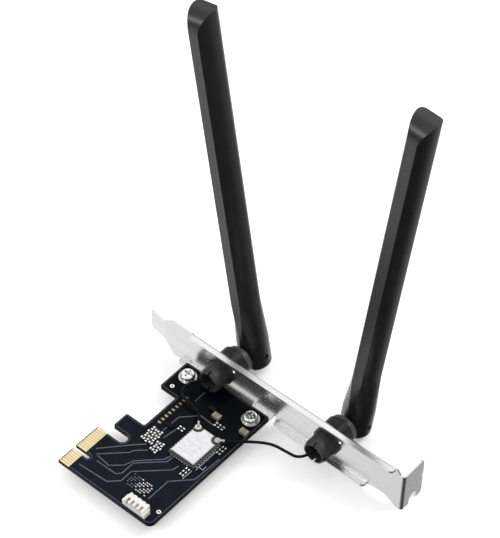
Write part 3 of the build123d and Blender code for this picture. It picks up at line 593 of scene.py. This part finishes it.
@dataclass
class CircuitBoard:
    """Tracks, edge line and print on the bare board, in millimetres.

    Attributes:
        nodes: The CAD nodes.
        repeat: The tree that sets boxes on points.
    """

    nodes: dict[str, bpy.types.Object]
    repeat: Repeat
    track_half: float = 0.2
    bed_margin: float = 0.25
    track_height: float = 0.03
    edge_inset: float = 0.55
    edge_half: float = 0.07
    print_height: float = 0.02
    capacitor_end: float = 0.3
    resistor_end: float = 0.28
    tan_end: float = 0.16
    end_proud: float = 0.03
    tan_end_proud: float = 0.04
    tracks: tuple[Route, ...] = (
        ((6.6, 4.4), (13.9, 12.7), (18.8, 17.9)),
        ((8.3, 2.6), (16.9, 11.1), (17.3, 12.6), (21.1, 16.2)),
        ((9.2, 2.5), (15.3, 1.9), (19.3, 5.6), (20.5, 9.2), (28.2, 16.9), (29.1, 19.5)),
        ((10.6, 0.6), (19.7, 0.8), (21.1, 2.5), (21.1, 8.4), (29.7, 16.8), (30.0, 19.4)),
        ((6.9, -4.6), (19.6, -3.8), (23.2, -0.2), (23.1, 5.1), (33.6, 15.3), (34.1, 18.0)),
        ((35.8, 0.1), (35.8, 10.4), (42.4, 17.3), (43.0, 29.9)),
        ((19.1, 26.6), (19.3, 34.7), (24.8, 40.5), (31.9, 40.1)),
        ((21.5, 23.9), (22.4, 30.4)),
    )
    white_lines: tuple[Route, ...] = (
        ((39.9, 20.6), (39.9, 31.3)),
        ((38.9, 14.8), (39.1, 19.6)),
        ((40.2, 22.4), (41.8, 22.4), (41.6, 24.2)),
    )
    print_origin: Point = (24.9, 0.3)
    print_step: Point = (0.98, 0.98)
    print_rows: int = 6
    print_columns: int = 10
    dim_columns: int = 4
    print_bar: Point = (0.62, 0.36)
    print_beat: tuple[int, int] = (3, 5)
    print_cycle: int = 4
    strip_origin: Point = (18.8, 44.6)
    strip_step: float = 0.95
    strip_count: int = 6
    test_pad_origin: Point = (15.5, 28.4)
    test_pad_step: float = 1.9
    test_pad_count: int = 9
    test_pad: Point = (1.3, 0.75)
    ring_half: float = 0.1
    ring_lift: float = 0.03
    ring_steps: int = 48
    pad_rings: Point = (3.32, 2.98)
    eyelet_r: float = 0.62
    eyelet_half: float = 0.22
    eyelets: Route = ((7.7, 44.1), (42.3, -1.6))

    @property
    def top(self) -> float:
        """Height of the board's component side, in metres."""
        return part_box("pcb")[1][2]

    def outline(self) -> list[Vector]:
        """The board's outer edge, drawn in by the edge line's inset.

        Returns:
            Points in metres, in order.
        """
        work = bmesh.new()
        work.from_mesh(self.nodes["pcb"].data)
        bmesh.ops.remove_doubles(work, verts=work.verts, dist=WELD)
        level = self.top - SAME_LEVEL
        upper = [f for f in work.faces if f.normal.z > FACES_UP and f.calc_center_median().z > level]
        inside = set(upper)
        follow = {}
        for face in upper:
            for loop in face.loops:
                if not any(f in inside for f in loop.edge.link_faces if f is not face):
                    follow[loop.vert] = loop.link_loop_next.vert
        best = []
        while follow:
            start, here = follow.popitem()
            loop_points = [start.co.xy.copy(), here.co.xy.copy()]
            while here in follow:
                here = follow.pop(here)
                loop_points.append(here.co.xy.copy())
            if max(p.x for p in loop_points) > max([p.x for p in best], default=-1):
                best = loop_points[:-1]
        work.free()
        drawn = []
        count = len(best)
        for n, here in enumerate(best):
            run_in = (here - best[n - 1]).normalized()
            run_out = (best[(n + 1) % count] - here).normalized()
            middle = (run_in + run_out).normalized()
            inward = Vector((-middle.y, middle.x)) / max(SHARPEST_INSET, middle.dot(run_in))
            drawn.append(here + inward * self.edge_inset * MM)
        return drawn

    def lines(self, name: str, routes: tuple[Route, ...], half: float, finish: Finishes) -> None:
        """Lay strips on the board along routes.

        Args:
            name: The piece's name.
            routes: Routes in millimetres.
            half: Half a strip's width in millimetres.
            finish: The strips' finish.
        """
        work = bmesh.new()
        for route in routes:
            points = [Vector(p) * MM for p in route]
            ribbon(work, points, half * MM, self.top, self.top + self.track_height * MM)
        new_piece(name, finished_mesh(name, work), finish, Body.CARD.value)

    def edge_line(self) -> None:
        """Lay the thin line that follows the board's edge."""
        work = bmesh.new()
        ribbon(work, self.outline(), self.edge_half * MM, self.top, self.top + self.print_height * MM, True)
        mesh = finished_mesh("board_edge_line", work)
        new_piece("board_edge_line", mesh, Finishes.EDGE_LINE, Body.CARD.value)

    def finger_bed(self) -> None:
        """Lay the gold-coloured ground that shows between the edge contacts."""
        boxes = solid_boxes(self.nodes["edge_contacts_component_side"])
        groups = [[box for box in boxes if (box[0].y > 0) == near] for near in (True, False)]
        work = bmesh.new()
        for group in groups:
            margin = self.bed_margin * MM
            low_y = min(box[0].y for box in group) - margin
            high_y = max(box[1].y for box in group) + margin
            middle = (low_y + high_y) / 2
            near_x = min(box[0].x for box in group)
            far_x = max(box[1].x for box in group)
            ends = [Vector((near_x, middle)), Vector((far_x, middle))]
            ribbon(work, ends, (high_y - low_y) / 2, self.top, self.top + self.print_height * MM)
        mesh = finished_mesh("finger_bed", work)
        new_piece("finger_bed", mesh, Finishes.FINGER_BED, Body.CARD.value)

    def part_ends(self, node: str, share: float, proud: float, finish: Finishes = Finishes.SOLDER) -> None:
        """Give a node's chips their tinned ends.

        Args:
            node: The node that holds the chips.
            share: Share of a chip's length that each end covers.
            proud: How far the ends stand out from the chip, in millimetres.
            finish: The ends' finish.
        """
        points, turns = [], []
        size = None
        for low, high in solid_boxes(self.nodes[node]):
            span = high - low
            centre = (low + high) / 2
            along = 0 if span.x >= span.y else 1
            long, short = max(span.x, span.y), min(span.x, span.y)
            size = (long * share / MM, short / MM + 2 * proud, span.z / MM + proud)
            for way in (-1, 1):
                offset = Vector((0, 0, proud * MM / 2))
                offset[along] = way * (long * (1 - share) / 2 + proud * MM)
                points.append(centre + offset)
                turns.append(along * QUARTER_TURN)
        self.repeat.boxes(f"{node}_ends", points, turns, size, finish, "pin_tin")

    def print_marks(self) -> None:
        """Lay plain bars in rows where the board is printed, dimmer in the first columns."""
        height = self.print_height
        z = self.top + height * MM / 2
        bars = {Finishes.EDGE_LINE: [], Finishes.SILK: []}
        for row in range(self.print_rows):
            for column in range(self.print_columns):
                beat = row * self.print_beat[0] + column * self.print_beat[1]
                if beat % self.print_cycle == 0:
                    continue
                x = self.print_origin[0] + column * self.print_step[0]
                y = self.print_origin[1] + row * self.print_step[1]
                finish = Finishes.EDGE_LINE if column < self.dim_columns else Finishes.SILK
                bars[finish].append(Vector((x * MM, y * MM, z)))
        for n in range(self.strip_count):
            y = self.strip_origin[1] + n * self.strip_step
            bars[Finishes.EDGE_LINE].append(Vector((self.strip_origin[0] * MM, y * MM, z)))
        for finish, points in bars.items():
            name = f"print_marks_{finish.name.lower()}"
            size = (*self.print_bar, height)
            self.repeat.boxes(name, points, [0.0] * len(points), size, finish, "solder_mask")

    def rings(self, name: str, places: list[Point], radii: Point, half: float, height: float) -> None:
        """Lay thin tinned rings on the board.

        Args:
            name: The piece's name.
            places: Centres in millimetres.
            radii: Radius of each ring round a centre.
            half: Half a ring's width.
            height: Height of the rings' tops above the board.
        """
        work = bmesh.new()
        for x, y in places:
            for radius in radii:
                turns = [2 * math.pi * n / self.ring_steps for n in range(self.ring_steps)]
                loop = [Vector((x + radius * math.cos(a), y + radius * math.sin(a))) * MM for a in turns]
                ribbon(work, loop, half * MM, self.top, self.top + height * MM, True)
        new_piece(name, finished_mesh(name, work), Finishes.SOLDER, Body.CARD.value)

    def build(self) -> None:
        """Lay everything on the board."""
        self.edge_line()
        self.finger_bed()
        self.lines("board_tracks", self.tracks, self.track_half, Finishes.TRACK)
        self.lines("board_print_lines", self.white_lines, self.edge_half, Finishes.SILK)
        self.part_ends("chip_capacitors", self.capacitor_end, self.end_proud)
        self.part_ends("chip_resistors", self.resistor_end, self.end_proud)
        self.part_ends("tan_capacitors", self.tan_end, self.tan_end_proud, Finishes.DULL_END)
        self.print_marks()
        pad_z = self.top + self.print_height * MM / 2
        x, first_y = self.test_pad_origin
        rows = [first_y + self.test_pad_step * n for n in range(self.test_pad_count)]
        points = [Vector((x * MM, y * MM, pad_z)) for y in rows]
        self.repeat.boxes("test_pads", points, [0.0] * len(points), (*self.test_pad, self.print_height),
                          Finishes.TEST_PAD, "gold_contact")
        pads = [(low + high) / 2 / MM for low, high in solid_boxes(self.nodes["screw_pads"])]
        pad_top = (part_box("screw_pads")[1][2] - self.top) / MM
        places = [(p.x, p.y) for p in pads]
        self.rings("pad_rings", places, self.pad_rings, self.ring_half, pad_top + self.ring_lift)
        self.rings("hole_eyelets", list(self.eyelets), (self.eyelet_r,), self.eyelet_half, self.track_height)


@dataclass
class RadioModule:
    """Castellations and label marks of the soldered radio module, in millimetres.

    Attributes:
        repeat: The tree that sets boxes on points.
    """

    repeat: Repeat
    pitch: float = 1.27
    joint: Triple = (0.7, 0.6, 0.35)
    margin: float = 1.6
    mark_rows: int = 4
    mark_columns: int = 3
    mark_origin: Point = (2.0, 2.2)
    mark_step: Point = (2.6, 2.2)
    mark_size: Triple = (1.9, 0.4, 0.02)
    mark_lift: float = 0.005
    mark_cycle: int = 4
    mark_gap: int = 3

    def castellations(self) -> None:
        """Set solder joints along the module's two long edges and its front edge."""
        low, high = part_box("module_substrate")
        z = low[2] + self.joint[2] * MM / 2
        points, turns = [], []
        length = (high[1] - low[1]) / MM - 2 * self.margin
        count = int(length / self.pitch)
        for n in range(count + 1):
            y = low[1] + (self.margin + n * self.pitch) * MM
            for x in (low[0], high[0]):
                points.append(Vector((x, y, z)))
                turns.append(0.0)
        width = (high[0] - low[0]) / MM - 2 * self.margin
        for n in range(int(width / self.pitch) + 1):
            x = low[0] + (self.margin + n * self.pitch) * MM
            points.append(Vector((x, low[1], z)))
            turns.append(QUARTER_TURN)
        self.repeat.boxes("module_joints", points, turns, self.joint, Finishes.SOLDER, "pin_tin")

    def label_marks(self) -> None:
        """Lay faint plain bars on the label."""
        low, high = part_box("module_label")
        z = high[2] + self.mark_lift * MM
        points = []
        for row in range(self.mark_rows):
            for column in range(self.mark_columns):
                if (row + 2 * column) % self.mark_cycle == self.mark_gap:
                    continue
                x = low[0] + (self.mark_origin[0] + self.mark_step[0] * column) * MM
                y = low[1] + (self.mark_origin[1] + self.mark_step[1] * row) * MM
                points.append(Vector((x, y, z)))
        self.repeat.boxes("label_marks", points, [0.0] * len(points), self.mark_size, Finishes.LABEL_MARK,
                          "label_film")

    def build(self) -> None:
        """Dress the module."""
        self.castellations()
        self.label_marks()


@dataclass
class Pigtail:
    """Thin coax from the module to one antenna, in millimetres.

    Attributes:
        side: Which antenna it feeds.
        route: Given points, the same as the solid's.
        length: Real length of the lead; not used.
    """

    side: Side
    route: tuple[Triple, ...]
    length: float
    radius: float = 0.55
    round_steps: int = 4
    run_steps: int = 12
    curve_order: int = 3

    def build(self) -> None:
        """Make the lead as a smooth curve in place of its solid."""
        name = self.side.node("coax_lead")
        curve = bpy.data.curves.new(name, "CURVE")
        curve.dimensions = "3D"
        curve.bevel_depth = self.radius * MM
        curve.bevel_resolution = self.round_steps
        curve.use_fill_caps = True
        curve.resolution_u = self.run_steps
        spline = curve.splines.new("NURBS")
        spline.points.add(len(self.route) - 1)
        for point, place in zip(spline.points, self.route):
            point.co = (*(c * MM for c in place), 1.0)
        spline.order_u = self.curve_order
        spline.use_endpoint_u = True
        piece = bpy.data.objects.new(name, curve)
        bpy.context.scene.collection.objects.link(piece)
        curve.materials.append(Finishes.COAX_JACKET.material())
        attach(piece, Body.CARD.value)
        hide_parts(self.side.node("pigtail"))
        LOG.info("%s: coax lead", name)


class Surroundings:
    """Node graph of the world, with short calls for the nodes that it repeats."""

    def __init__(self, name: str) -> None:
        """Start a white world that reads the direction of each ray.

        Args:
            name: The world's name.
        """
        self.world = bpy.data.worlds.new(name)
        self.world.use_nodes = True
        self.tree = self.world.node_tree
        self.back = self.tree.nodes["Background"]
        self.back.inputs["Color"].default_value = (1, 1, 1, 1)
        self.coords = self.tree.nodes.new("ShaderNodeTexCoord").outputs["Generated"]

    def link(self, source: bpy.types.NodeSocket, target: bpy.types.NodeSocket) -> None:
        """Join an output to an input."""
        self.tree.links.new(source, target)

    def height(self) -> bpy.types.NodeSocket:
        """How far the direction points upwards.

        Returns:
            The direction's upward part.
        """
        axes = self.tree.nodes.new("ShaderNodeSeparateXYZ")
        self.link(self.coords, axes.inputs["Vector"])
        return axes.outputs["Z"]

    def towards(self, way: Triple) -> bpy.types.NodeSocket:
        """How far the direction points one way.

        Args:
            way: The way to measure along.

        Returns:
            The direction's part along it.
        """
        node = self.tree.nodes.new("ShaderNodeVectorMath")
        node.operation = "DOT_PRODUCT"
        node.inputs[1].default_value = way
        self.link(self.coords, node.inputs[0])
        return node.outputs["Value"]

    def ranged(self, value: bpy.types.NodeSocket, span: Span, ends: Span) -> bpy.types.NodeSocket:
        """Map a part of the direction to a strength.

        Args:
            value: The part of the direction.
            span: Where the strength starts and stops changing.
            ends: Strength at each end of the span.

        Returns:
            The strength.
        """
        node = self.tree.nodes.new("ShaderNodeMapRange")
        for key, number in zip(("From Min", "From Max", "To Min", "To Max"), (*span, *ends)):
            node.inputs[key].default_value = number
        self.link(value, node.inputs["Value"])
        return node.outputs["Result"]

    def summed(self, one: bpy.types.NodeSocket, two: bpy.types.NodeSocket) -> bpy.types.NodeSocket:
        """Add two strengths.

        Args:
            one: The first strength.
            two: The second strength.

        Returns:
            Their sum.
        """
        node = self.tree.nodes.new("ShaderNodeMath")
        self.link(one, node.inputs[0])
        self.link(two, node.inputs[1])
        return node.outputs[0]

    def mixed(self, share: bpy.types.NodeSocket, one: bpy.types.NodeSocket) -> bpy.types.ShaderNodeMix:
        """Mix a strength with a second one that is set later.

        Args:
            share: Share of the second strength.
            one: The first strength.

        Returns:
            The mixing node, whose B takes the second strength.
        """
        node = self.tree.nodes.new("ShaderNodeMix")
        node.data_type = "FLOAT"
        self.link(share, node.inputs["Factor"])
        self.link(one, node.inputs["A"])
        return node


@dataclass(frozen=True)
class Lamp:
    """A soft square lamp, in metres and watts.

    Attributes:
        name: The lamp's name.
        place: Where it stands.
        aim: What it points at.
        size: Side of its square.
        power: Its power.
    """

    name: str
    place: Triple
    aim: Triple
    size: float
    power: float

    def build(self) -> None:
        """Set the lamp up."""
        data = bpy.data.lights.new(self.name, "AREA")
        data.size = self.size
        data.energy = self.power
        lamp = bpy.data.objects.new(self.name, data)
        lamp.location = self.place
        way = Vector(self.aim) - Vector(self.place)
        lamp.rotation_euler = way.to_track_quat("-Z", "Y").to_euler()
        bpy.context.scene.collection.objects.link(lamp)


@dataclass
class Studio:
    """White floor, soft light and the photograph's camera."""

    camera_place: Triple = (0.3570, -0.3383, 0.6225)
    azimuth: float = 39.376
    elevation: float = 47.148
    roll: float = 1.5
    lens: float = 147.2
    sensor: float = 36.0
    nearest: float = 0.01
    floor_half: float = 3.0
    floor_drop: float = 0.0001
    dim_below: float = 0.1
    bright_above: float = 0.8
    horizon_light: float = 0.15
    top_light: float = 0.92
    panel_way: Triple = (-0.43, 0.53, 0.73)
    panel_edge: Span = (0.86, 0.96)
    panel_light: float = 0.6
    below: Span = (-0.15, 0.05)
    dark_way: Triple = (0.94, -0.34, -1.3)
    dark_span: Span = (0.75, 1.45)
    below_light: float = 1.2
    below_dark: float = 0.02
    floor_glow: float = 0.25
    floor_tone: float = 0.9
    floor_roughness: float = 0.9
    lamps: tuple[Lamp, ...] = (
        Lamp("key", place=(0.45, 0.75, 0.95), aim=(0.05, 0.05, 0.03), size=0.55, power=5.6),
        Lamp("fill_near", place=(-0.29, -0.8, 0.8), aim=(0.05, 0.05, 0.1), size=0.28, power=2.0),
        Lamp("fill_far", place=(-0.73, -0.67, 0.65), aim=(0.05, 0.05, 0.1), size=0.28, power=2.0),
    )

    def camera(self) -> None:
        """Set the camera where the photograph was taken from."""
        turn = math.radians(self.azimuth)
        rise = math.radians(self.elevation)
        forward = Vector((-math.sin(turn) * math.cos(rise), math.cos(turn) * math.cos(rise), -math.sin(rise)))
        right = Vector((math.cos(turn), math.sin(turn), 0))
        right.rotate(Matrix.Rotation(math.radians(-self.roll), 3, forward))
        up = right.cross(forward)
        data = bpy.data.cameras.new("photo_camera")
        data.lens = self.lens
        data.sensor_width = self.sensor
        data.clip_start = self.nearest
        data.dof.use_dof = False
        camera = bpy.data.objects.new("photo_camera", data)
        turned = Matrix((right, up, -forward)).transposed().to_4x4()
        camera.matrix_world = Matrix.Translation(self.camera_place) @ turned
        bpy.context.scene.collection.objects.link(camera)
        bpy.context.scene.camera = camera

    def world(self) -> None:
        """Light the card with a soft panel overhead and a dark side, and show plain white to the camera."""
        sky = Surroundings("studio")
        bpy.context.scene.world = sky.world
        height = sky.height()
        over = sky.ranged(height, (self.dim_below, self.bright_above), (self.horizon_light, self.top_light))
        panel = sky.ranged(sky.towards(self.panel_way), self.panel_edge, (0.0, self.panel_light))
        under = sky.ranged(sky.towards(self.dark_way), self.dark_span, (self.below_light, self.below_dark))
        around = sky.mixed(sky.ranged(height, self.below, (0.0, 1.0)), under)
        sky.link(sky.summed(over, panel), around.inputs["B"])
        path = sky.tree.nodes.new("ShaderNodeLightPath")
        seen = sky.mixed(path.outputs["Is Camera Ray"], around.outputs["Result"])
        seen.inputs["B"].default_value = 1.0
        sky.link(seen.outputs["Result"], sky.back.inputs["Strength"])

    def floor(self) -> None:
        """Lay a white floor that keeps the card's shadow and stays out of reflections."""
        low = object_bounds()[0][2] - self.floor_drop
        work = bmesh.new()
        corners = ((-1, -1), (1, -1), (1, 1), (-1, 1))
        work.faces.new([work.verts.new((x * self.floor_half, y * self.floor_half, low)) for x, y in corners])
        mesh = finished_mesh("floor", work)
        shade = Shade("floor_white")
        path = shade.add("ShaderNodeLightPath")
        tone = self.floor_tone
        shade.set(Base_Color=(tone, tone, tone, 1), Roughness=self.floor_roughness, Specular_IOR_Level=0.0,
                  Emission_Color=(1, 1, 1, 1))
        glow = shade.add("ShaderNodeMath", operation="MULTIPLY")
        glow.inputs[1].default_value = self.floor_glow
        shade.link(path.outputs["Is Camera Ray"], glow.inputs[0])
        shade.feed(glow.outputs[0], "Emission Strength")
        mesh.materials.append(shade.material)
        floor = bpy.data.objects.new("floor", mesh)
        bpy.context.scene.collection.objects.link(floor)
        floor.visible_glossy = False
        floor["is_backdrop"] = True

    def build(self) -> None:
        """Set up the whole studio."""
        bpy.context.scene.view_settings.view_transform = "Standard"
        self.world()
        self.floor()
        for lamp in self.lamps:
            lamp.build()
        self.camera()


LEADS = (
    Pigtail(Side.LEFT, (
        (27.05, 36.85, 2.5), (24.65, 40.05, 2.5), (20.6, 41.0, 2.6), (16.0, 41.2, 2.9), (13.0, 43.2, 3.3),
        (13.3, 47.2, 4.2), (16.9, 50.6, 5.4), (18.9, 53.6, 5.76), (19.3, 57.0, 5.8)), 31.6),
    Pigtail(Side.RIGHT, (
        (39.85, 36.35, 2.5), (43.45, 39.05, 2.5), (48.6, 42.9, 3.1), (54.2, 46.0, 3.5),
        (60.2, 46.7, 3.3), (65.2, 46.9, 3.9), (68.3, 50.8, 5.5), (69.0, 55.9, 5.8)), 38.0),
)


def dress_nodes(nodes: dict[str, bpy.types.Object]) -> None:
    """Give every CAD node its finish.

    Args:
        nodes: The CAD nodes by name.
    """
    finishes = dict(NODE_FINISHES)
    for side in Side:
        finishes.update({side.node(piece): finish for piece, finish in ANTENNA_FINISHES.items()})
    for name, finish in finishes.items():
        slots = nodes[name].data.materials
        slots.clear()
        slots.append(finish.material())
        LOG.info("%s: %s", name, finish.name.lower())


def main() -> None:
    """Load the frame, dress it and set up the studio."""
    logging.basicConfig(level=logging.INFO, format="%(message)s")
    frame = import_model()
    nodes = frame["nodes"]
    dress_nodes(nodes)
    repeat = Repeat()
    CircuitBoard(nodes, repeat).build()
    RadioModule(repeat).build()
    for lead in LEADS:
        lead.build()
    Studio().build()


if __name__ == "__main__":
    main()
